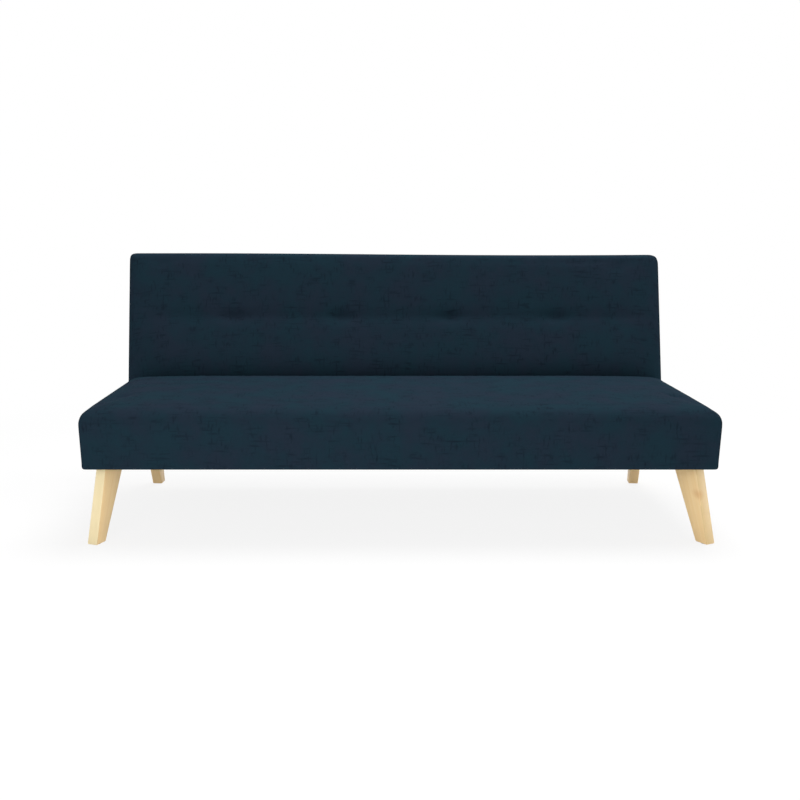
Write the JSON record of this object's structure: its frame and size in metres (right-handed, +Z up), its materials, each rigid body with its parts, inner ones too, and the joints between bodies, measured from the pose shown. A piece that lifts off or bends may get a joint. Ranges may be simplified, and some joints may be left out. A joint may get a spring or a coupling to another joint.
{
  "type": "click-clack sofa bed",
  "caption": "Armless upholstered sofa bed on raked wooden legs; the tufted backrest folds down level with the seat on ratchet hinges.",
  "frame": {"origin": "on the floor, under the middle of the sofa's box", "axes": "+X along the sofa to the right of someone facing it, +Y from front to back, +Z up"},
  "size_m": [1.68, 0.787, 0.7478],
  "materials": {
    "cover_cloth": "matte",
    "foam": "matte",
    "felt": "matte",
    "lining_cloth": "matte",
    "leg_wood": "satin",
    "frame_wood": "matte",
    "black_steel": "satin",
    "zinc_steel": "satin",
    "black_plastic": "matte"
  },
  "bodies": {
    "base": {"leg_front_left": "leg_wood", "leg_front_right": "leg_wood", "leg_rear_left": "leg_wood", "leg_rear_right": "leg_wood", "leg_bolts": "zinc_steel", "foot_glides": "black_plastic", "leg_plates": "black_steel", "chassis_tube_left": "black_steel", "chassis_tube_right": "black_steel", "chassis_tube_front": "black_steel", "chassis_tube_middle": "black_steel", "chassis_tube_rear": "black_steel", "tube_end_caps": "black_plastic", "chassis_bolts": "zinc_steel", "seat_rail_front": "frame_wood", "seat_rail_rear": "frame_wood", "seat_rail_left": "frame_wood", "seat_rail_right": "frame_wood", "seat_braces": "frame_wood", "corner_blocks": "frame_wood", "seat_screws": "zinc_steel", "seat_springs": "zinc_steel", "seat_spring_clips": "zinc_steel", "seat_felt": "felt", "seat_pad": "foam", "seat_front_foam": "foam", "seat_rear_foam": "foam", "seat_side_foam_left": "foam", "seat_side_foam_right": "foam", "seat_cover": "cover_cloth", "seat_dust_cover": "lining_cloth", "hinge_seat_arm_left": "zinc_steel", "hinge_seat_arm_right": "zinc_steel", "hinge_seat_bolts": "zinc_steel"},
    "backrest": {"hinge_back_arm_left": "zinc_steel", "hinge_back_arm_right": "zinc_steel", "hinge_rivets": "zinc_steel", "hinge_back_bolts": "zinc_steel", "pawl_pins": "zinc_steel", "pawl_springs": "zinc_steel", "back_rail_left": "frame_wood", "back_rail_right": "frame_wood", "back_rail_top": "frame_wood", "back_rail_bottom": "frame_wood", "back_brace": "frame_wood", "back_springs": "zinc_steel", "back_spring_clips": "zinc_steel", "back_felt": "felt", "back_pad": "foam", "back_top_foam": "foam", "back_bottom_foam": "foam", "back_side_foam_left": "foam", "back_side_foam_right": "foam", "back_rear_wadding": "foam", "back_rear_cloth": "cover_cloth", "back_cover": "cover_cloth", "tuft_ties": "lining_cloth"},
    "pawl_left": {"pawl_left": "zinc_steel"},
    "pawl_right": {"pawl_right": "zinc_steel"}
  },
  "joints": [
    {"name": "backrest_recline", "type": "hinge", "parent": "base", "child": "backrest", "pos_m": [0, 0.2265, 0.31], "axis": [-1, 0, 0], "range_deg": [-12, 75]},
    {"name": "pawl_left_click", "type": "hinge", "parent": "backrest", "child": "pawl_left", "pos_m": [-0.814, 0.2293, 0.37677], "axis": [1, 0, 0], "range_deg": [-9, 0]},
    {"name": "pawl_right_click", "type": "hinge", "parent": "backrest", "child": "pawl_right", "pos_m": [0.814, 0.2293, 0.37677], "axis": [1, 0, 0], "range_deg": [-9, 0]}
  ]
}
